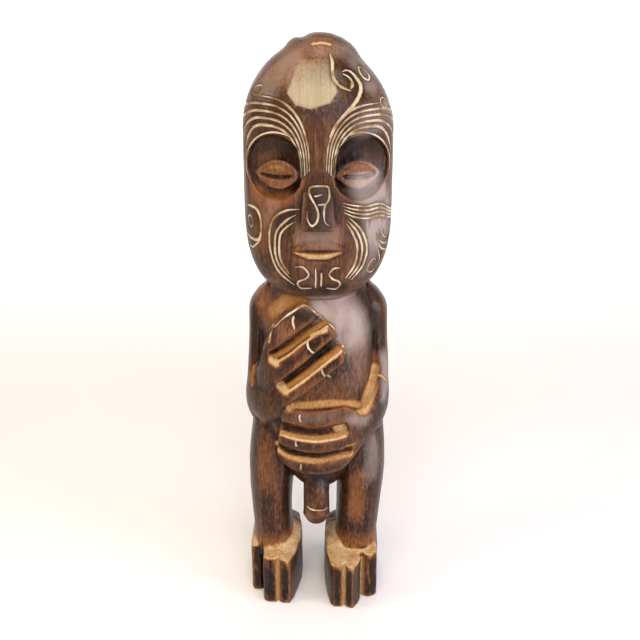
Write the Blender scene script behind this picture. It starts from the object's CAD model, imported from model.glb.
# A tekoteko, a standing ancestor figure of the Maori kind, carved from one post of wood and stained
# dark brown. Its tattoo lines are cut through the stain, so they show the pale wood under it.
import math

import bmesh
import bpy
import numpy as np
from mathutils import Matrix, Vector, noise
from mathutils.bvhtree import BVHTree
from mathutils.kdtree import KDTree


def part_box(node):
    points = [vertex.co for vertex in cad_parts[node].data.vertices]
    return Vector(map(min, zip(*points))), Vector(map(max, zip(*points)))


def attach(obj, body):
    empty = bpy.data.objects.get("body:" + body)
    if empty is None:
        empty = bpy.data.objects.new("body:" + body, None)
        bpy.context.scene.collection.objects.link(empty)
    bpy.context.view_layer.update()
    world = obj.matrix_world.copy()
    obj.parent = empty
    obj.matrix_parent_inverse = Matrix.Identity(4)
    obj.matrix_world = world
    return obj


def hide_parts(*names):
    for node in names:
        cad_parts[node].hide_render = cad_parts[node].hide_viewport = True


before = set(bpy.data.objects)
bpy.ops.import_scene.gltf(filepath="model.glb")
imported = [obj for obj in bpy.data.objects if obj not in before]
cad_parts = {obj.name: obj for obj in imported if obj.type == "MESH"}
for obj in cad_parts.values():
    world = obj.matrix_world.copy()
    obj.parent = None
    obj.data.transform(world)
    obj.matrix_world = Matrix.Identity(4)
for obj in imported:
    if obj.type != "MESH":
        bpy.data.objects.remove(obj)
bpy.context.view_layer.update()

# The blank: one post of close-grained hardwood, roughed out with adze and chisel to the full form.
# The frame's solid has that form, so the carving starts as a copy of it, cut into small even faces.
# Shapes are measured in millimetres from the figure's own axis, with Z up and the face towards -Y.
MM = 0.001
FACE_SIZE = 0.7
AXIS_INSET = 50  # how far in the axis runs from the left elbow and from the nose
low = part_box("figure")[0]
AXIS = np.array([low.x / MM + AXIS_INSET, low.y / MM + AXIS_INSET, 0])

bpy.ops.object.select_all(action="DESELECT")
figure = bpy.data.objects.new("carved_figure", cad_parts["figure"].data.copy())
bpy.context.collection.objects.link(figure)
figure.select_set(True)
bpy.context.view_layer.objects.active = figure
bpy.ops.object.mode_set(mode="EDIT")
bpy.ops.mesh.select_all(action="SELECT")
bpy.ops.mesh.remove_doubles(threshold=0.001 * MM)
bpy.ops.object.mode_set(mode="OBJECT")


def finish_with(kind, **settings):
    modifier = figure.modifiers.new(kind.title(), kind)
    for name, value in settings.items():
        setattr(modifier, name, value)
    bpy.ops.object.modifier_apply(modifier=modifier.name)


def edges_sharper_than(angle, spacing):
    """Points along the figure's sharp edges."""
    shell = bmesh.new()
    shell.from_mesh(figure.data)
    places = []
    for edge in shell.edges:
        if edge.is_manifold and edge.calc_face_angle() > angle:
            start, end = (np.array(v.co) / MM - AXIS for v in edge.verts)
            steps = np.linspace(0, 1, 2 + int(np.linalg.norm(end - start) / spacing))
            places.extend(start + (end - start) * t for t in steps)
    shell.free()
    return places


SHARP = math.radians(32)
SHOULDER_START = 34
SHOULDER_LOW = 194
SHOULDER_TOP = 226
FOOT_TOP = 36.5
ANKLE = 52


def left_soft(place):
    """Whether an edge lies round a shoulder or where the shin runs into the foot."""
    x, y, z = place
    at_shoulder = abs(x) > SHOULDER_START and SHOULDER_LOW < z < SHOULDER_TOP
    return at_shoulder or FOOT_TOP < z < ANKLE


sharp_edges = edges_sharper_than(SHARP, spacing=1)
crisp_edges = [place for place in sharp_edges if not left_soft(place)]
finish_with("REMESH", mode="VOXEL", voxel_size=FACE_SIZE * MM)

# The head: rounded and rubbed smooth, so its flat facets are worked down to the true curve, and
# the plain grooves over the eyes are filled, to be cut again below as fine smooth lines.
HEAD_TOP = 378
CHIN = 228
HEAD_HALF = 47.2
FACE_FRONT = 40
HEAD_BACK = 41
CROWN = 327  # above this level the head's sides curve in to its top
JAW = 285  # and below this one they curve in to the neck
THROAT = 240
NECK = 216
LEAN = -2.4  # how far the top of the head leans to one side
SQUARE = 2.5  # the power of the head's section: 2 is an oval, and more is boxier
EYE_LINE = (HEAD_TOP + CHIN) / 2
FACE_PART = (HEAD_TOP - CHIN) / 3.5
NOSE_BASE = CHIN + FACE_PART
MOUTH_LINE = NOSE_BASE - FACE_PART / 3


def head_sizes(z):
    crown = np.clip((z - CROWN) / (HEAD_TOP - CROWN), 0, 0.999)
    jaw = np.clip((JAW - z) / (JAW - NECK), 0, 0.999)
    throat = np.clip((THROAT - z) / (THROAT - NECK), 0, 0.999)
    half = HEAD_HALF * (1 - crown**1.8) ** 0.5 * (1 - jaw**3.2) ** 0.45
    front = FACE_FRONT * (1 - crown**1.9) ** 0.52 * (1 - throat**3.2) ** 0.5
    back = HEAD_BACK * (1 - crown**2.1) ** 0.5 * (1 - jaw**2) ** 0.45
    return half, front, back


def on_head(across, z):
    """The place on the head, across from its middle line, and round its side past its half width."""
    width = np.minimum(np.abs(across), HEAD_HALF)
    turn = np.arcsin((width / HEAD_HALF) ** (SQUARE / 2)) + (np.abs(across) - width) / HEAD_BACK
    half, front, back = head_sizes(z)
    x = np.sign(across) * half * np.sin(turn) ** (2 / SQUARE)
    forward = np.sign(np.cos(turn)) * np.abs(np.cos(turn)) ** (2 / SQUARE)
    return np.stack([x, -np.where(forward > 0, front, back) * forward, z], axis=-1)


def away_from_head(points):
    """How far points stand out of the head's true curve, and the level way out."""
    half, front, back = head_sizes(points[:, 2])
    lean = LEAN * np.clip((points[:, 2] - CROWN) / (HEAD_TOP - CROWN), 0, 1) ** 1.5
    flat = np.column_stack([points[:, 0] - lean, points[:, 1]])
    depth = np.where(flat[:, 1] < 0, front, back)
    share = (np.abs(flat[:, 0] / half) ** SQUARE + np.abs(flat[:, 1] / depth) ** SQUARE) ** (1 / SQUARE)
    radius = np.linalg.norm(flat, axis=1) + 1e-6
    return radius * (1 - 1 / np.maximum(share, 0.05)), flat / radius[:, None]


def smooth_line(places, spacing=0.3):
    """Points close together on a smooth line through a few places."""
    p = np.array(places, float)
    p = np.vstack([2 * p[0] - p[1], p, 2 * p[-1] - p[-2]])
    stretches = []
    for a, b, c, d in zip(p, p[1:], p[2:], p[3:]):
        t = np.arange(0, 1, spacing / max(spacing, np.linalg.norm(c - b)))[:, None]
        bend = (2 * a - 5 * b + 4 * c - d) * t**2 + (3 * b - a - 3 * c + d) * t**3
        stretches.append((2 * b + (c - a) * t + bend) / 2)
    return np.vstack(stretches + [p[-2:-1]])


BROW_ARCS = 5
GROOVE_REACH = 4.5
LAST_ARC_TURN = 0.52  # the last arc ends past its top, where the others have turned half round
FULLNESS = 0.77  # the power of an arc's curve: 1 is an ellipse, and less is fuller


def brow_arc(side, k):
    """Groove k over an eye: up from the root of the nose, over, and all but the last down the temple."""
    spacing = 4 if side < 0 else 3.2
    root = (11.9 - 1.35 * k, EYE_LINE - 3.5 + 1.2 * k)
    top = (31 + 1.5 * k, EYE_LINE + 25 + spacing * k)
    temple = (43 + 3 * k, EYE_LINE - 12 + 4.8 * k)
    turn = np.linspace(0, math.pi * (LAST_ARC_TURN if k == BROW_ARCS else 1), 90)
    foot = np.where((turn < math.pi / 2)[:, None], root, temple)
    over = np.abs(np.cos(turn)) ** FULLNESS
    up = np.clip(np.sin(turn), 0, 1) ** FULLNESS
    across = top[0] + (foot[:, 0] - top[0]) * over
    return smooth_line(np.column_stack([side * across, foot[:, 1] + (top[1] - foot[:, 1]) * up]))


def distance_to(points, course, reach):
    """How far points are from a course, where they are nearer than reach."""
    distance = np.full(len(points), float(reach))
    inside = np.all((points > course.min(0) - reach) & (points < course.max(0) + reach), axis=1)
    for chunk in np.array_split(np.flatnonzero(inside), 1 + inside.sum() // 4000):
        if len(chunk):
            gap = np.linalg.norm(points[chunk, None] - course[None], axis=2)
            distance[chunk] = np.minimum(gap.min(axis=1), reach)
    return distance


def vertex_vectors(name):
    values = np.empty(3 * len(figure.data.vertices), np.float32)
    figure.data.vertices.foreach_get(name, values)
    return values.reshape(-1, 3).astype(float)


def points_of_figure():
    return vertex_vectors("co") / MM - AXIS


def move_points(points):
    figure.data.vertices.foreach_set("co", ((points + AXIS) * MM).astype(np.float32).ravel())
    figure.data.update()


points = points_of_figure()
in_groove = np.zeros(len(points))
for side in (-1, 1):
    for k in range(1, BROW_ARCS + 1):
        arc = brow_arc(side, k)
        near = distance_to(points, on_head(*arc[::3].T), GROOVE_REACH)
        in_groove = np.maximum(in_groove, np.clip((GROOVE_REACH - near) / 1.5, 0, 1))
out, way = away_from_head(points)

# A point within this tolerance settles on the curve. It is larger in the grooves and high on the
# crown, and it fades out at the chin, so the neck keeps its own form.
steepness = np.clip((points[:, 2] - 350) / 12, 0, 1)
tolerance = 0.5 + 1.4 * in_groove + 0.6 * steepness
tolerance *= np.clip((points[:, 2] - CHIN) / 6, 0, 1) + 1e-6
beyond = np.clip((3 * tolerance - np.abs(out)) / (2 * tolerance), 0, 1)
shift = np.clip(out, -tolerance, tolerance) * np.where(np.abs(out) < tolerance, 1, beyond)
points[:, :2] -= way * shift[:, None]
move_points(points)

# Over the forehead a flat is planed, from the foot of the topknot down to the brow.
FLAT_MIDDLE = np.array([-4, -31.1, 354.3])
FLAT_SLOPE = math.radians(31)
FLAT_FACING = np.array([0, -math.cos(FLAT_SLOPE), math.sin(FLAT_SLOPE)])
FLAT_FOOT = 335
FLAT_TOP = 371
over = (points - FLAT_MIDDLE) @ FLAT_FACING
in_front = (points[:, 1] < -18) & (points[:, 2] > FLAT_FOOT) & (points[:, 2] < FLAT_TOP)
planed = (over > 0) & in_front
points[planed] -= over[planed, None] * FLAT_FACING
move_points(points)

# The rest of the body is rubbed round too, between the edges that the chisel left crisp.
CRISP_WIDTH = 0.8
ROUNDED_WIDTH = 3
crisp = KDTree(len(crisp_edges))
for number, place in enumerate(crisp_edges):
    crisp.insert(place, number)
crisp.balance()
to_edge = np.array([crisp.find(point)[2] for point in points])


def soften(chosen, rounds):
    plain = figure.vertex_groups.new(name="plain")
    plain.add(np.flatnonzero(chosen).tolist(), 1.0, "REPLACE")
    finish_with("SMOOTH", factor=0.8, iterations=rounds, vertex_group="plain")
    figure.vertex_groups.clear()


x, y, z = points.T
roundness = np.clip((to_edge - CRISP_WIDTH) / ROUNDED_WIDTH, 0, 1) * (z < CHIN + 1)
for level in (0.25, 0.5, 0.75, 1):
    soften(roundness >= level, 45)
topknot_foot = (z > 361) & (to_edge < 8)
nose_root = (np.abs(x) < 8.5) & (z > EYE_LINE - 9) & (z < EYE_LINE + 6) & (y < -28)
soften(topknot_foot | nose_root, 90)

# The topknot: a squared knot of hair, with a shoulder on each side and a notch chopped across its top.
KNOT_MIDDLE = 0.9
NOTCH = -9.5
NOTCH_DEPTH = 1.3
points = points_of_figure()
x, y, z = points.T
for side, level, width in ((-1, 378, 2.6), (1, 371.5, 2.1)):
    beside = np.clip((side * (x - KNOT_MIDDLE) - 6) / 8, 0, 1)
    points[:, 0] += side * width * beside * np.exp(-(((z - level) / 5) ** 2))
points[:, 2] -= NOTCH_DEPTH * np.exp(-(((x - NOTCH) / 3.5) ** 2)) * np.clip((z - 374) / 5, 0, 1)
move_points(points)
finish_with("SMOOTH", factor=0.5, iterations=4)

# The lines: each is cut with a small gouge along a course on the surface. Its width swells from a
# fine start and runs out again, and every cut keeps the way out of the wood along its course.
surface = BVHTree.FromObject(figure, bpy.context.evaluated_depsgraph_get())
cuts = []


def out_of_head(points):
    step = 0.5 * np.eye(3)
    slope = [away_from_head(points + s)[0] - away_from_head(points - s)[0] for s in step]
    facing = np.column_stack(slope)
    return facing / np.linalg.norm(facing, axis=1)[:, None]


def on_front(places):
    """The places on the figure behind places drawn on its front view, and the way out there."""
    found = []
    facing = []
    for across, up in places:
        start = (Vector((across, -70, up)) + Vector(AXIS)) * MM
        hit, normal, _, _ = surface.ray_cast(start, Vector((0, 1, 0)))
        if hit is not None:
            found.append(np.array(hit) / MM - AXIS)
            facing.append(np.array(normal))
    smooth = np.array([np.mean(facing[max(0, i - 6) : i + 7], axis=0) for i in range(len(facing))])
    return np.array(found), smooth / np.linalg.norm(smooth, axis=1)[:, None]


def swelling(course, width, start=0.14, end=0.14):
    share = np.linspace(0, 1, len(course))
    return width * (0.3 + 0.7 * np.clip(np.minimum(share / start, (1 - share) / end), 0, 1))


def evenly_round_head(places, spacing=0.3):
    """Points on the head, evenly spaced, along a smooth line through a few places."""
    course = on_head(*smooth_line(places, 0.05).T)
    run = np.append(0, np.cumsum(np.linalg.norm(np.diff(course, axis=0), axis=1)))
    even = np.linspace(0, run[-1], 2 + int(run[-1] / spacing))
    return np.column_stack([np.interp(even, run, course[:, axis]) for axis in range(3)])


def cut_round_head(places, width=2.0, depth=0.95, start=0.14, end=0.14):
    course = evenly_round_head(places)
    cuts.append((course, out_of_head(course), swelling(course, width, start, end), depth))


def cut_on_front(places, width=1.6, depth=0.7):
    course, facing = on_front(smooth_line(places))
    cuts.append((course, facing, swelling(course, width), depth))


# The tattoo over the eyes: grooves that fan out from the root of the nose, the rim of each socket,
# a leaf where the last groove ends on one side, and a ring on the other.
RIM_MIDDLE = (25.5, EYE_LINE + 4)
RIM_HALF = (18.9, 21.2)
for side in (-1, 1):
    for k in range(1, BROW_ARCS + 1):
        cut_round_head(brow_arc(side, k)[::12], 2.6 - 0.1 * k, 1.4, start=0.5, end=0.3)
    turn = np.radians(np.linspace(125, -28, 20))
    rim_across = side * (RIM_MIDDLE[0] + RIM_HALF[0] * np.cos(turn))
    rim_up = RIM_MIDDLE[1] + RIM_HALF[1] * np.sin(turn)
    cut_round_head(np.column_stack([rim_across, rim_up]), 1.5, 0.5)
turn = np.linspace(0, 2 * math.pi, 12)
leaf_across = -41.4 + 3.4 * np.cos(turn) - 0.8 * np.sin(turn)
leaf_up = 350.8 + np.cos(turn) + 2.5 * np.sin(turn)
cut_round_head(np.column_stack([leaf_across, leaf_up]), 1.5)
cut_round_head(np.column_stack([43.2 + 2.2 * np.cos(turn), 343.6 + 2.9 * np.sin(turn)]), 1.5)

# The forehead: a fern frond with a broad stem that curls into a hook, and an oval behind it.
STEM = [(15, 371.7), (15, 368.3), (13.1, 364), (12.4, 360.2), (13.8, 357.5), (16.2, 355), (19.5, 353),
        (22.6, 351.8)]
FROND = [(21, 362.4), (25.5, 363), (29, 361.3), (30.9, 357.4), (31, 354), (28.5, 349.8), (25, 346),
         (20, 341.8), (15.4, 338), (11.4, 334), (8.6, 329.8), (7, 326)]
HOOK = [(20.7, 361), (23.8, 359.7), (25.6, 357.6), (25.2, 355.2), (23.4, 353)]
cut_round_head(STEM, 2.6, 1)
cut_round_head(FROND, 3.2, 1, start=0.2, end=0.5)
cut_round_head(HOOK, 2.7, 0.8, start=0.7, end=0.1)
turn = np.linspace(0.6, 2.2 * math.pi, 14)
cut_round_head(np.column_stack([39 + 3.2 * np.cos(turn), 361 + 3.6 * np.sin(turn)]))


# The nose: two hooks that meet over the bridge like the shoulders of a bottle, and two bars.
NOSE_HALF = 10.4
NOSE_TAPER = 2.4
NOSE_HEIGHT = 28.5


def on_nose(across, up):
    """A place on the nose's front from shares of its half width and of its height."""
    return across * (NOSE_HALF - NOSE_TAPER * up), NOSE_BASE + NOSE_HEIGHT * up


SCROLL = [(-0.7, 0.41), (-0.64, 0.25), (-0.39, 0.13), (-0.1, 0.19), (0.02, 0.33), (-0.1, 0.49),
          (-0.45, 0.67), (-0.64, 0.8), (-0.42, 0.9), (0.66, 0.9), (0.8, 0.8), (0.75, 0.65),
          (0.45, 0.51), (0.38, 0.33), (0.45, 0.19), (0.7, 0.12)]
cut_on_front([on_nose(*place) for place in SCROLL], 1.7)
cut_on_front([on_nose(-0.27, 0.71), on_nose(0.03, 0.725), on_nose(0.33, 0.75)], 1.3, 0.5)
cut_on_front([on_nose(-0.03, 0.54), on_nose(0.3, 0.55), on_nose(0.58, 0.565)], 1.3, 0.5)

# Round the mouth: nested curves on each side, from beside the nose to the chin.
MOUTH_CURVES = [
    [(-14.5, 274.5), (-19.5, 271), (-23.3, 266), (-24.6, 258), (-24.2, 249), (-20, 241)],
    [(-13.5, 279), (-19, 275.5), (-25, 269), (-27.2, 260), (-26.8, 248), (-20, 238)],
    [(-11.5, 282.5), (-19, 281.5), (-26.3, 277), (-30, 268), (-30.6, 254), (-27.5, 242), (-18.5, 234)],
    [(17, 274), (21.5, 267), (24.8, 258), (24.6, 247), (20, 238.5)],
    [(18, 275.4), (24, 268), (28, 258), (27.6, 246.5), (22.3, 237.8)],
    [(19, 277), (26.5, 269), (31, 258), (30.6, 246), (24.6, 237)],
]
for curve in MOUTH_CURVES:
    cut_round_head(curve)

# The chin: a scroll on each side and two upright strokes between them.
cut_round_head([(-15.5, 246), (-10, 246), (-6.5, 241.5), (-9, 238.5), (-14.5, 236.5), (-15.5, 233.5),
                (-12.5, 231.5), (-4.5, 232)], 1.7)
cut_round_head([(15.5, 245.5), (10.5, 245), (8, 241.5), (10.5, 238.5), (15.5, 236.5), (17, 233.5),
                (14.5, 231), (6, 232)], 1.7)
cut_round_head([(-1.6, 246), (-1.6, 239), (-2, 232)], 1.4, 0.6)
cut_round_head([(2.4, 243), (2.4, 238), (2.4, 233)], 1.4, 0.6)

# The cheeks: an oval with a drop in it and a chevron on one, and on the other four waves under the
# eye, three nested hooks and a drop.
turn = np.linspace(0.6 * math.pi, -0.75 * math.pi, 16)
bulge = np.column_stack([np.cos(turn), np.sin(turn)])
bulge = np.sign(bulge) * np.abs(bulge) ** 0.75
cut_round_head(bulge * (6.2, 10.6) + (-41.8, 270.3), 2.6, 0.9)
turn = np.linspace(0, 2 * math.pi, 12)
cut_round_head(np.column_stack([-42.8 + 1.7 * np.cos(turn), 270.8 + 3.6 * np.sin(turn)]), 1.5)
cut_round_head([(-47, 257), (-44, 253.7), (-40.5, 256.5), (-36, 261.5)], 1.8)
for k in range(4):
    fall = 2.3 * k
    wave = [(15.5, 286 - 0.8 * fall), (22, 284.3 - fall), (30, 283.2 - 1.1 * fall),
            (37, 283.6 - 1.1 * fall), (41.5, 281.6 - fall), (46.5, 276.5 - 0.8 * fall),
            (51, 274 - 0.8 * fall)]
    cut_round_head(wave, 1.6, 0.6)
cut_round_head([(36, 265), (38, 260), (41, 254.5), (46, 250.5)], 1.6)
cut_round_head([(37.5, 267), (38.5, 261.5), (41.5, 257.5), (46, 256), (49, 261)], 1.6)
cut_round_head([(39.5, 268), (41, 263.5), (43.5, 260), (46, 262)], 1.4)
cut_round_head([(39, 254), (41.4, 248.5), (42, 243.5), (39, 239.5), (35.4, 241), (34.8, 245), (37, 248.4),
                (39.4, 247)], 1.6)

# The ears: a curl on each side of the head, plainer than the face.
EAR_MIDDLE = (61, 286)
EAR_HALF = (8, 13)
for side in (-1, 1):
    turn = np.linspace(0, 3.4 * math.pi, 30)
    size = 1 - 0.075 * turn
    ear_across = side * (EAR_MIDDLE[0] - EAR_HALF[0] * size * np.sin(turn))
    ear_up = EAR_MIDDLE[1] + EAR_HALF[1] * size * np.cos(turn)
    cut_round_head(np.column_stack([ear_across, ear_up]), 2.4, 1.1)

# The hands: a nail on each finger, and a fine cut along the upper hand's edge and under the lower.
for nail in ([(-15.4, 213), (-16, 209.5), (-14.9, 204.6)],
             [(-6.6, 197.7), (-6.4, 194), (-4.5, 191.2), (-2.4, 189.8)],
             [(2.2, 180.5), (3, 176.9), (5.5, 173.4), (8.8, 170.9)],
             [(-11.7, 148), (-12.1, 145), (-11.3, 142.5)],
             [(-14.6, 128.8), (-14.8, 126.5), (-14.2, 124)],
             [(-11.4, 110.4), (-11.6, 107.5), (-12, 104.4)]):
    cut_on_front(nail, 2, 0.8)
UPPER_EDGE = [(-31.5, 194), (-29.6, 202.3), (-25.5, 207.5), (-21, 212), (-15.7, 215.6), (-11, 218.4),
              (-7.2, 218.9), (-1.6, 215.4), (3, 211.6), (7, 207.4), (10.5, 203.7), (13, 199.5)]
cut_on_front(UPPER_EDGE, 1.7, 0.5)
cut_on_front([(-15, 101.6), (-8, 100), (0, 99.3), (8, 99.9), (15, 101.4)], 1.5, 0.7)

# The loins: a ring round the end of the member.
cut_on_front([(-8.6, 75.8), (-5, 74.6), (0, 74.2), (4.5, 73.6), (7.8, 74.6)], 1.7, 0.7)


def cut_at(points, lines):
    """How deep each point is cut, the way out of the wood there, and how near it is to the middle of
    a line: 1 in the middle, 0 at the line's edge, and less outside it."""
    depths = np.zeros(len(points))
    ways = np.zeros((len(points), 3))
    nearness = np.full(len(points), -3.0)
    for course, facing, widths, depth in lines:
        reach = 2 * widths.max() + 1
        inside = np.all((points > course.min(0) - reach) & (points < course.max(0) + reach), axis=1)
        for chunk in np.array_split(np.flatnonzero(inside), 1 + inside.sum() // 3000):
            gap = points[chunk, None] - course[None]
            up = np.einsum("pcx,cx->pc", gap, facing)
            beside = np.einsum("pcx,pcx->pc", gap, gap) - up**2
            beside[np.abs(up) > 3.5 + 2 * depth] = 1e6
            nearest = beside.argmin(axis=1)
            away = np.sqrt(np.maximum(0, beside[np.arange(len(chunk)), nearest]))
            near = 1 - away / (widths[nearest] / 2)
            deep = depth * widths[nearest] / widths.max() * np.clip(near, 0, 1)
            better = deep > depths[chunk]
            depths[chunk[better]] = deep[better]
            ways[chunk[better]] = facing[nearest[better]]
            nearness[chunk] = np.maximum(nearness[chunk], near)
    return depths, ways, nearness


def make_finer(chosen_points):
    """Cuts each face that has a chosen point into four."""
    mesh = figure.data
    corners = np.empty(len(mesh.loops), np.int32)
    mesh.loops.foreach_get("vertex_index", corners)
    starts = np.empty(len(mesh.polygons), np.int32)
    mesh.polygons.foreach_get("loop_start", starts)
    bpy.context.tool_settings.mesh_select_mode = (False, False, True)
    bpy.ops.object.mode_set(mode="EDIT")
    bpy.ops.mesh.select_all(action="DESELECT")
    bpy.ops.object.mode_set(mode="OBJECT")
    mesh.polygons.foreach_set("select", np.maximum.reduceat(chosen_points[corners], starts))
    bpy.ops.object.mode_set(mode="EDIT")
    bpy.ops.mesh.subdivide(number_cuts=1)
    bpy.ops.object.mode_set(mode="OBJECT")


make_finer(cut_at(points_of_figure(), cuts)[2] > -1)

# The tool marks: long shallow facets from the knife, fainter on the head, and a rough chopped top
# where the ankles meet the feet. The soles are left flat.
FACET_DEPTH = 0.42
HEAD_FACETS = 0.35  # the share of that depth that is left on the head
CHOP_DEPTH = 0.9


def unevenness(points, across, along, seed):
    """Smooth noise between -1 and 1, with hollows of the given sizes across and along the post."""
    scaled = points / (across, across, along) + seed
    return np.array([noise.noise(place) for place in scaled])


points = points_of_figure()
x, y, z = points.T
normals = vertex_vectors("normal")
facets = 0.7 * unevenness(points, 9, 26, 3) + 0.3 * unevenness(points, 4, 9, 8)
calm = np.where(z > CHIN + 4, HEAD_FACETS, 1.0) * np.clip((z - 1) / 3, 0, 1)
faces_up = np.clip((normals[:, 2] - 0.25) / 0.3, 0, 1)
chopped = faces_up * (z > 24) * (z < 47) * (y < 8)
depths, ways, _ = cut_at(points, cuts)
points += normals * (FACET_DEPTH * facets * calm)[:, None]
points[:, 2] += CHOP_DEPTH * chopped * unevenness(points, 3.2, 3.2, 5)
points -= ways * depths[:, None]

# The grooves between the fingers open wider than the chisel's first cut.
HAND_CUT_WIDTH = 12.5
HAND_CUT_DEPTH = 1.9
HAND_GROOVES = [
    [(-31, 184), (-14, 197.6), (7, 214.5)],
    [(-26, 164), (-8, 179.2), (16.5, 200.2)],
    [(-29, 138), (-2.5, 133.6), (19.5, 137)],
    [(-31, 121), (-3, 114.7), (22.5, 118)],
]
wide_cuts = []
for groove in HAND_GROOVES:
    course, facing = on_front(smooth_line(groove, 1))
    wide_cuts.append((course, facing, np.full(len(course), HAND_CUT_WIDTH), HAND_CUT_DEPTH))
depths, ways, _ = cut_at(points, wide_cuts)
points -= ways * depths[:, None]

# The shoulder blades stand out a little.
BLADE_MIDDLE = (17, 191)
BLADE_HALF = (13, 24)
BLADE_HEIGHT = 1.6
for side in (-1, 1):
    across = (x - side * BLADE_MIDDLE[0]) / BLADE_HALF[0]
    up = (z - BLADE_MIDDLE[1]) / BLADE_HALF[1]
    blade = np.clip(1 - across**2 - up**2, 0, 1)
    points[:, 1] += BLADE_HEIGHT * blade * blade * (y > 10)
move_points(points)

# The stain: a dark brown wash over the bare wood. It is thick in hollows, thin where hands rub it,
# and gone where the chisel came last: in the lines, between the fingers and round the ankles.
points = points_of_figure()
x, y, z = points.T
normals = vertex_vectors("normal")
amounts = {kind: np.zeros(len(points)) for kind in ("bare", "thin", "dark", "bloom")}


def rubbed(kind, width, strength, places, on_the_head=False):
    """Adds a soft stroke of one kind of stain along places on the front view or on the head."""
    line = smooth_line(places, 1)
    course = on_head(*line.T) if on_the_head else on_front(line)[0]
    away = distance_to(points, course, 0.7 * width)
    share = np.clip((0.7 * width - away) / (0.5 * width), 0, 1)
    amounts[kind] = np.maximum(amounts[kind], strength * share * share * (3 - 2 * share))


# Bare wood on the hands: the lower wall and edge of each groove, the blunt ends, the shelf over the
# lower hand, the crook of the arm and some fingertips.
rubbed("bare", 6, 0.66, [(-29, 183.4), (-20, 190.8), (-12.9, 196.9), (-5.8, 202.4), (0, 206.5),
                         (4.1, 208.9)])
rubbed("bare", 2.4, 1.2, [(-27.5, 181), (-18.5, 188.3), (-11.5, 194.3), (-4.5, 199.8), (1, 204),
                          (5.5, 207)])
rubbed("bare", 6.5, 1.2, [(-30.5, 182.2), (-27.3, 181)])
rubbed("bare", 5.6, 0.66, [(-22.5, 163.7), (-16, 168.8), (-9.5, 174), (-3.5, 179.3), (2.7, 184.5),
                           (9.2, 189.4), (12.6, 192.3)])
rubbed("bare", 1.6, 0.9, [(11, 189.6), (14, 192.8), (16.6, 196.4)])
rubbed("bare", 2.4, 1.2, [(-20.5, 162.2), (-14.5, 166.8), (-8, 172), (-2, 177.2), (4.2, 182.4),
                          (10.7, 187.4), (16, 192)])
rubbed("bare", 6.5, 1.2, [(-24.3, 164.6), (-21.2, 162.8)])
rubbed("bare", 3.6, 1.1, [(-4.4, 201), (0, 203.2), (4.8, 205)])
rubbed("bare", 1.8, 0.9, UPPER_EDGE)
rubbed("bare", 1.8, 0.8, [(11.5, 187), (15.5, 190.5), (17, 187.5)])
rubbed("bare", 6, 0.8, [(-18.5, 150.5), (-10, 152), (0, 153), (10, 153.5), (17, 152.5), (24, 150.5),
                        (28.5, 147)])
rubbed("bare", 9, 0.9, [(37.5, 168), (35.5, 160.3), (33, 153.1), (30.5, 147.8)])
rubbed("bare", 2, 1, [(38.5, 164.5), (42.5, 163), (45.5, 159)])
rubbed("bare", 5.4, 0.68, [(-24.6, 132.9), (-18.5, 132), (-9.7, 130.9), (0, 130.4), (9, 131.7),
                           (18, 133.3)])
rubbed("bare", 2.4, 1.2, [(-25, 131.4), (-18.5, 130.4), (-9.7, 129.2), (0, 128.7), (9, 129.8),
                          (18, 131.5)])
rubbed("bare", 6, 1.1, [(12, 136), (16.5, 136.2)])
rubbed("bare", 5.5, 0.85, [(-27, 115.5), (-20, 114.3), (-10, 113.3), (0, 112.8), (10, 114.3),
                           (18, 115.3), (22, 115.5)])
rubbed("bare", 4, 1.2, [(-28, 118), (-26, 116)])
rubbed("bare", 3, 1.1, [(15.5, 118.5), (17, 118)])
rubbed("bare", 1.4, 0.9, [(19, 123.5), (24.5, 124)])

# Worn spots on one elbow, the loins and the topknot, and a fine line of wear under the chin.
rubbed("bare", 5, 0.5, [(-42.5, 169), (-44.5, 163), (-44, 158)])
rubbed("bare", 3.5, 0.4, [(0, 72), (3.5, 71)])
rubbed("bare", 2.4, 1.35, [(-3, 377), (2, 377.6), (7, 376.8)])
rubbed("bare", 3, 0.4, [(-33, 229), (-22, 225.5), (-10, 222.5), (0, 221.8), (12, 222.5), (25, 226.5)])

# Bare wood in the clefts between the toes, and on the chopped tops of the feet.
rubbed("bare", 5, 0.95, [(-28.3, 36), (-28.3, 1)])
rubbed("bare", 5, 0.95, [(17.5, 34), (17.5, 1)])
rubbed("bare", 5, 0.95, [(31, 31), (31, 1)])
rubbed("bare", 1.4, 0.5, [(34.5, 28), (36, 12)])
stroked = amounts["bare"] > 0.2
faces_up = np.clip((normals[:, 2] - 0.12) / 0.3, 0, 1)
chopped = faces_up * (z > 24) * np.clip((50 - z) / 6, 0, 1) * np.clip((6 - y) / 8, 0, 1)
mottled = 1 + 0.35 * unevenness(points, 2.5, 2.5, 21) + 0.3 * unevenness(points, 7, 7, 22)
fading = 0.4 * np.clip((54 - z) / 10, 0, 1) * (z > 38) * (y < 6)
amounts["bare"] = np.maximum.reduce([amounts["bare"], chopped * mottled, fading])

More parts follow.
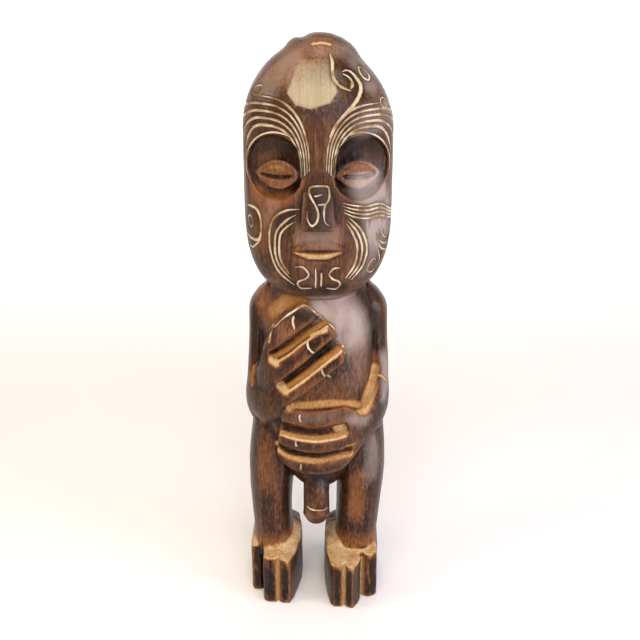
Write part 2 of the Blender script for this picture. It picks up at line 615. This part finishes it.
# Bare wood on the face: the upper lids and the lower lip. Thin stain lies under the eyes and over
# the upper lip, and thick stain in the sockets.
EYE_STROKES = [
    ("bare", 3, 0.5, [(16, 1.5), (25, 3.5), (34, 1.5)]),
    ("bare", 6, 0.55, [(22, 4), (28, 4)]),
    ("thin", 6, 0.7, [(18, -6), (25, -8), (32, -6)]),
    ("dark", 12, 0.8, [(17, 15), (25.5, 18), (36, 13)]),
]
for side in (-1, 1):
    for kind, width, strength, places in EYE_STROKES:
        rubbed(kind, width, strength, [(side * across, EYE_LINE + up) for across, up in places])
rubbed("bare", 2, 0.9, [(-14, MOUTH_LINE - 1.6), (0, MOUTH_LINE - 3), (14, MOUTH_LINE - 1.6)])
rubbed("bare", 3.2, 1, [(-10, MOUTH_LINE - 2.6), (0, MOUTH_LINE - 3.6), (10, MOUTH_LINE - 2.6)])
rubbed("bare", 4.5, 1.05, [(-6.5, MOUTH_LINE - 3.6), (0, MOUTH_LINE - 4), (6.5, MOUTH_LINE - 3.6)])
rubbed("thin", 14, 1.3, [(-9, 265), (9, 265)], True)

# Half-worn stain high on the chest, beside the upper hand.
rubbed("bare", 13, 0.62, [(-30, 211), (-22, 218), (-11, 221)])

# Thin stain, which lets the wood show orange: one cheek, the crown, a shoulder, the chest, the belly
# and the legs.
rubbed("thin", 15, 1.25, [(-38, 290), (-30, 285), (-22, 289)], True)
rubbed("thin", 14, 1, [(-29, 284), (-32, 274), (-34, 260)], True)
rubbed("thin", 22, 1, [(-30, 362), (-14, 371), (6, 373)], True)
rubbed("thin", 16, 1.1, [(-36, 222), (-33, 210), (-30, 204)])
rubbed("thin", 13, 0.6, [(-22, 222), (0, 218), (20, 222)])
rubbed("thin", 20, 0.6, [(20, 205), (27, 190), (26, 172)])
rubbed("thin", 18, 0.65, [(-4, 162), (10, 160), (20, 164)])
rubbed("thin", 9, 0.5, [(0, 86), (0, 78)])
rubbed("thin", 5, 1, [(-24, 138), (-10, 136.5), (0, 136), (8, 136.8)])
rubbed("thin", 5, 1, [(19.5, 119), (22.5, 117)])
rubbed("thin", 6, 0.9, [(36.5, 182), (37, 172)])
rubbed("thin", 12, 0.7, [(-37, 122), (-36, 100), (-34, 86)])
rubbed("thin", 3, 0.7, [(-31, 97), (-29, 84)])
rubbed("thin", 14, 1.1, [(26, 92), (27, 80), (26, 66)])
rubbed("thin", 4, 0.6, [(-29, 76), (-29, 54)])

# Thick stain: the upper wall of each groove, the fingertips, the channels beside the arms, the toes,
# the nose and the underside of the chin.
rubbed("dark", 4, 0.75, [(-31, 188), (-24, 193.5), (-15, 200), (-5, 207), (0, 211)])
rubbed("dark", 3.6, 0.75, [(-25, 169), (-16, 176), (-7, 183), (3, 191), (12, 199)])
rubbed("dark", 3.4, 1, [(-26, 141), (-12, 139.6), (0, 139), (14, 139.5), (19, 139)])
rubbed("dark", 3.4, 0.9, [(-22, 120.5), (-10, 119.8), (0, 119.5), (10, 120)])
rubbed("dark", 3.4, 1, [(13.5, 122.5), (15, 121)])
rubbed("dark", 10, 1.15, [(-11, 214), (-5, 213)])
rubbed("dark", 10, 1.15, [(-2, 198), (4.5, 199)])
rubbed("dark", 10, 1.15, [(7, 182), (12.5, 185)])
rubbed("dark", 9, 1.1, [(35.5, 208), (36, 195), (37, 184)])
rubbed("dark", 10, 0.65, [(-43, 208), (-43, 195), (-42, 180)])
rubbed("dark", 8, 0.45, [(41, 204), (43, 192), (42, 182)])
rubbed("dark", 9, 0.5, [(-27, 176), (-18, 183)])
rubbed("dark", 5, 0.8, [(-12, 98), (0, 96.5), (12, 98)])
for across in (-40, -34, -24, 12, 22, 38):
    rubbed("dark", 9 if across < 0 else 7, 0.95, [(across, 32), (across, 2)])
rubbed("dark", 20, 0.85, [(0, 272), (0, 292)])
rubbed("dark", 8, 0.95, [(-20, 233), (0, 230), (20, 233)], True)

# A cool bloom of old wax: over the chest, the lower hand and the crown, and down one side of the
# figure and of the face. The bloom on the body stops below the chin.
rubbed("bloom", 28, 1.25, [(6, 219), (16, 213), (23, 200)])
rubbed("bloom", 20, 0.2, [(22, 200), (25, 186), (24, 170)])
rubbed("bloom", 10, 0.9, [(44, 176), (46, 168), (44, 152)])
rubbed("bloom", 14, 1, [(-6, 221), (6, 221), (14, 220)])
rubbed("bloom", 9, 0.25, [(-12, 145.5), (12, 146.5)])
rubbed("bloom", 10, 0.75, [(22, 143), (31, 141)])
rubbed("bloom", 12, 0.5, [(36, 118), (37, 104), (36, 95)])
rubbed("bloom", 5, 1.2, [(-24, 44), (-20.5, 39)])
amounts["bloom"] *= np.clip((227 - z) / 4, 0, 1)
rubbed("bloom", 24, 1.5, [(31, 297), (37, 284), (37, 266)], True)
rubbed("bloom", 13, 0.5, [(-9, 266), (9, 266)], True)
rubbed("bloom", 12, 0.5, [(38, 256), (32, 243)], True)
rubbed("bloom", 12, 0.3, [(-28, 283), (-31, 274)], True)
rubbed("bloom", 18, 0.55, [(-36, 352), (-34, 362), (-28, 369)], True)
rubbed("bloom", 14, 0.6, [(36, 372), (40, 365), (38, 355)], True)
rubbed("bloom", 17, 0.95, [(27, 329), (35, 335), (45, 338)], True)
rubbed("bloom", 16, 0.3, [(-13, 376), (10, 376)])
for kind in ("thin", "bloom"):
    amounts[kind] *= 0.85 + 0.45 * unevenness(points, 6, 13, 31)

# The planed flat is rubbed paler, in an outline with corners.
FLAT_OUTLINE = np.array([(-11.5, 369), (7, 370), (11, 362), (11.8, 350.5), (7.4, 344.7), (-4.2, 341.2),
                         (-13.5, 343.4), (-18.8, 350.4)])
inside = np.full(len(points), 1.2)
for start, end in zip(FLAT_OUTLINE, np.roll(FLAT_OUTLINE, -1, axis=0)):
    along = (end - start) / np.linalg.norm(end - start)
    inside = np.minimum(inside, along[1] * (x - start[0]) - along[0] * (z - start[1]))
off_plane = np.abs((points - FLAT_MIDDLE) @ FLAT_FACING)
amounts["flat"] = np.clip(inside / 1.2, 0, 1) * (off_plane < 1.5) * np.clip((378 - z) / 26, 0, 1)


def carve_depth():
    """How far each point lies below its surroundings, in millimetres."""
    ends = np.empty(2 * len(figure.data.edges), np.int32)
    figure.data.edges.foreach_get("vertices", ends)
    ends = ends.reshape(-1, 2)
    count = np.bincount(ends.ravel(), minlength=len(points))[:, None]
    smooth = points.copy()
    for _ in range(24):
        total = np.zeros_like(smooth)
        for axis in range(3):
            total[:, axis] = np.bincount(ends[:, 0], smooth[ends[:, 1], axis], len(points))
            total[:, axis] += np.bincount(ends[:, 1], smooth[ends[:, 0], axis], len(points))
        smooth = (smooth + total / count) / 2
    return np.einsum("px,px->p", smooth - points, normals)


# The stain's own tone is darker in hollows than on edges, and uneven in large and small blotches.
blotches = 0.26 * unevenness(points, 34, 60, 17) + 0.34 * unevenness(points, 13, 22, 11)
depth = carve_depth()
amounts["tone"] = 0.5 + blotches - np.clip(1.1 * depth, -0.3, 0.4)
amounts["tone"] -= 0.12 * (z < 229) + 0.2 * np.clip((110 - z) / 90, 0, 1)
edge_wear = np.clip((-0.22 - depth) / 0.3, 0, 0.4) * (z < 229)
amounts["bare"] = np.maximum(amounts["bare"], edge_wear)
amounts["line"] = cut_at(points, cuts)[2]
for name, values in amounts.items():
    layer = figure.data.attributes.new(name, "FLOAT", "POINT")
    layer.data.foreach_set("value", values.astype(np.float32))

# The faces stay small along the lines and the bare wood, and grow larger elsewhere.
MOST_TRIANGLES = 194000
free = (amounts["line"] < -0.2) & ~stroked & (amounts["flat"] < 0.01)
plain = figure.vertex_groups.new(name="plain")
plain.add(np.flatnonzero(free).tolist(), 1.0, "REPLACE")
triangles = sum(len(polygon.vertices) - 2 for polygon in figure.data.polygons)
finish_with("DECIMATE", ratio=MOST_TRIANGLES / triangles, vertex_group="plain")
figure.vertex_groups.clear()
bpy.ops.object.shade_smooth()

# Stained hardwood, carved and rubbed with wax: upright grain and pores show through a brown wash,
# with a soft gloss on the stain and a dry look on the bare wood.
wood = bpy.data.materials.new("stained_carved_hardwood")
wood.use_nodes = True
tree = wood.node_tree
shader = tree.nodes["Principled BSDF"]


def colour(code):
    """The linear colour of an sRGB hex value."""
    parts = [int(code[i : i + 2], 16) / 255 for i in (1, 3, 5)]
    return [p / 12.92 if p <= 0.04045 else ((p + 0.055) / 1.055) ** 2.4 for p in parts] + [1]


def add_node(kind, inputs, **settings):
    """Adds a node with its settings. An input is a plain value, a socket, or a node's first output."""
    new = tree.nodes.new(kind)
    for name, value in settings.items():
        setattr(new, name, value)
    for name, value in inputs.items():
        if isinstance(value, bpy.types.Node):
            value = next(socket for socket in value.outputs if socket.enabled)
        if isinstance(value, bpy.types.NodeSocket):
            tree.links.new(value, new.inputs[name])
        else:
            new.inputs[name].default_value = value
    return new


# Streaks in the wood: how wide, how deep into it and how long up the post each one is, in
# millimetres, then its detail and roughness.
STREAKS = {
    "grain": (0.7, 0.7, 18, 3, 0.6),
    "bands": (4, 4, 60, 2, 0.5),
    "pores": (0.5, 0.5, 6, 1, 0.5),
    "flecks": (0.8, 0.8, 2.2, 2, 0.6),
    "scratches": (1.2, 40, 40, 2, 0.5),
    "ragged": (1.4, 1.4, 4, 3, 0.6),
    "mottle": (7, 7, 10, 2, 0.5),
}
place = add_node("ShaderNodeTexCoord", {}).outputs["Object"]
streaks = {}
for name, (width, depth, length, detail, roughness) in STREAKS.items():
    stretch = (1, width / depth, width / length)
    stretched = add_node("ShaderNodeMapping", {"Vector": place, "Scale": stretch})
    look = {"Vector": stretched, "Scale": 1 / (width * MM), "Detail": detail, "Roughness": roughness}
    streaks[name] = add_node("ShaderNodeTexNoise", look)

# The stain runs from nearly black to a reddish brown, streaked with grain and pitted with pores.
tone = add_node("ShaderNodeAttribute", {}, attribute_name="tone").outputs["Fac"]
for name, gain in (("grain", 1.15), ("bands", 0.6), ("flecks", 0.35)):
    tone = add_node("ShaderNodeMath", {0: streaks[name], 1: gain, 2: tone}, operation="MULTIPLY_ADD")
stain = add_node("ShaderNodeMapRange", {"Value": tone, "From Min": 0.95, "From Max": 2.15})
stain = add_node("ShaderNodeValToRGB", {"Fac": stain})
stain.color_ramp.elements[0].color = colour("#120a06")
stain.color_ramp.elements[1].color = colour("#80573a")
stain.color_ramp.elements.new(0.35).color = colour("#2e190b")
stain.color_ramp.elements.new(0.65).color = colour("#52311b")
pitted = {"Value": streaks["pores"], "From Min": 0.6, "From Max": 0.75, "To Max": 0.4}
pits = add_node("ShaderNodeMapRange", pitted)
stained = {"Factor": pits, "A": stain, "B": colour("#150c07")}
surface_colour = add_node("ShaderNodeMix", stained, data_type="RGBA")

# Each coat covers the ones before where its layer lies between two amounts, with a ragged edge.
aged = add_node("ShaderNodeMapRange", {"Value": streaks["mottle"], "From Min": 0.35, "From Max": 0.6})
TINTS = {
    "orange": (streaks["grain"], "#5a2f15", "#96602f"),
    "pale": (streaks["grain"], "#b0956c", "#cbb48d"),
    "cream": (aged, "#93703f", "#d3c2a2"),
    "scratched": (streaks["scratches"], "#857656", "#b8aa88"),
}
tints = {}
for name, (pattern, dark_tint, light_tint) in TINTS.items():
    blend = {"Factor": pattern, "A": colour(dark_tint), "B": colour(light_tint)}
    tints[name] = add_node("ShaderNodeMix", blend, data_type="RGBA")
COATS = [
    ("thin", 0.1, 1.2, 0.85, 0.3, tints["orange"]),
    ("bloom", 0, 1.1, 0.85, 0.12, colour("#9f9085")),
    ("dark", 0.1, 0.9, 0.8, 0.25, colour("#150c07")),
    ("flat", 0.1, 1, 0.9, 0.12, tints["scratched"]),
    ("line", -1.4, -0.1, 0.65, 0.3, colour("#170d08")),
    ("bare", 0.1, 0.4, 1, 0.15, colour("#6a4020")),
    ("bare", 0.35, 0.8, 1, 0.12, colour("#a3763e")),
    ("bare", 0.75, 1.2, 1, 0.2, tints["pale"]),
    ("line", 0.2, 0.5, 0.95, 0.15, tints["cream"]),
]
ragged = {"Value": streaks["ragged"], "From Min": 0.3, "From Max": 0.7, "To Min": -1}
ragged = add_node("ShaderNodeMapRange", ragged)
for name, start, end, most, raggedness, coat in COATS:
    amount = add_node("ShaderNodeAttribute", {}, attribute_name=name).outputs["Fac"]
    amount = add_node("ShaderNodeMath", {0: ragged, 1: raggedness, 2: amount}, operation="MULTIPLY_ADD")
    cover = {"Value": amount, "From Min": start, "From Max": end, "To Max": most}
    cover = add_node("ShaderNodeMapRange", cover)
    layered = {"Factor": cover, "A": surface_colour, "B": coat}
    surface_colour = add_node("ShaderNodeMix", layered, data_type="RGBA")
tree.links.new(surface_colour.outputs["Result"], shader.inputs["Base Color"])

# The wax fills the grain unevenly, so the gloss is streaked, and the bare wood drinks it up.
bare = add_node("ShaderNodeAttribute", {}, attribute_name="bare").outputs["Fac"]
dry = add_node("ShaderNodeMapRange", {"Value": bare, "From Min": 0.1, "From Max": 0.7, "To Max": 0.22})
gloss = {"Value": streaks["flecks"], "From Min": 0.3, "From Max": 0.7, "To Min": 0.32, "To Max": 0.5}
gloss = add_node("ShaderNodeMapRange", gloss)
gloss = add_node("ShaderNodeMath", {0: gloss, 1: dry}, operation="ADD")
tree.links.new(gloss.outputs[0], shader.inputs["Roughness"])
shader.inputs["Specular IOR Level"].default_value = 0.13
shader.inputs["Coat Weight"].default_value = 0.17
shader.inputs["Coat Roughness"].default_value = 0.2
relief = {0: streaks["flecks"], 1: 0.6, 2: streaks["grain"]}
relief = add_node("ShaderNodeMath", relief, operation="MULTIPLY_ADD")
relief = add_node("ShaderNodeMath", {0: relief, 1: pits}, operation="SUBTRACT")
bump = add_node("ShaderNodeBump", {"Height": relief, "Strength": 0.25, "Distance": 0.15 * MM})
tree.links.new(bump.outputs["Normal"], shader.inputs["Normal"])
figure.data.materials.clear()
figure.data.materials.append(wood)

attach(figure, "root")
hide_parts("figure")

# The floor: a round dish of pale paper, flat under the figure and rising all round, far off.
FLAT_RADIUS = 1.8
CURVE = 0.8
bpy.ops.object.select_all(action="DESELECT")
bpy.ops.mesh.primitive_grid_add(x_subdivisions=90, y_subdivisions=90, size=9, location=(0, 0, 0))
floor = bpy.context.object
floor.name = "floor"
for vertex in floor.data.vertices:
    run = vertex.co.xy.length
    turn = min(max((run - FLAT_RADIUS) / CURVE, 0), math.pi / 2)
    wall = max(run - FLAT_RADIUS - CURVE * math.pi / 2, 0)
    reach = min(run, FLAT_RADIUS) + CURVE * math.sin(turn)
    outwards = vertex.co.xy.normalized() * reach
    vertex.co = (outwards.x, outwards.y, CURVE * (1 - math.cos(turn)) + wall)
bpy.ops.object.shade_smooth()
paper = bpy.data.materials.new("pale_paper")
paper.use_nodes = True
paper_shader = paper.node_tree.nodes["Principled BSDF"]
paper_shader.inputs["Base Color"].default_value = colour("#f7f6f4")
paper_shader.inputs["Roughness"].default_value = 0.9
floor.data.materials.append(paper)

# The camera: a little above the head and looking down by 20 degrees.
camera_data = bpy.data.cameras.new("camera")
camera_data.sensor_width = 36
camera_data.lens = 54.28
camera = bpy.data.objects.new("camera", camera_data)
camera.location = (0.0017, -0.6049, 0.4189)
camera.rotation_euler = (math.radians(70), 0, 0)
bpy.context.collection.objects.link(camera)
bpy.context.scene.camera = camera

# The light: a soft room, a broad lamp over the front, a warm one on the left, and two cool windows
# whose sheen lies over the chest and the right side. One more lights the paper behind the figure.
bpy.context.scene.view_settings.view_transform = "Standard"
world = bpy.data.worlds.new("studio")
world.use_nodes = True
world.node_tree.nodes["Background"].inputs["Color"].default_value = (1, 1, 1, 1)
world.node_tree.nodes["Background"].inputs["Strength"].default_value = 0.3
bpy.context.scene.world = world


def soft_light(name, aim, towards, distance, size, power, tint):
    """Adds a square lamp at a distance from the place that it lights."""
    data = bpy.data.lights.new(name, "AREA")
    data.size = size
    data.energy = power
    data.color = colour(tint)[:3]
    light = bpy.data.objects.new(name, data)
    light.location = Vector(aim) + distance * Vector(towards).normalized()
    light.rotation_euler = Vector(towards).to_track_quat("Z", "Y").to_euler()
    bpy.context.collection.objects.link(light)


MIDDLE = (0, 0, 0.25)
soft_light("over_front", MIDDLE, (-0.06, -0.565, 0.825), 1.3, 0.6, 9.5, "#ffefd9")
soft_light("warm_left", MIDDLE, (-1, -0.35, 0.45), 1.3, 0.5, 6, "#ffe2c0")
soft_light("cool_front", MIDDLE, (0.3, -0.9, 0.42), 1.3, 0.7, 6, "#ebe7ff")
soft_light("cool_right", MIDDLE, (0.85, -0.55, 0.15), 1.2, 0.6, 9.5, "#e4e3ff")
soft_light("behind", (0, 2.6, 0.5), (0, -1, 0.7), 1.6, 1.2, 32, "#ffffff")
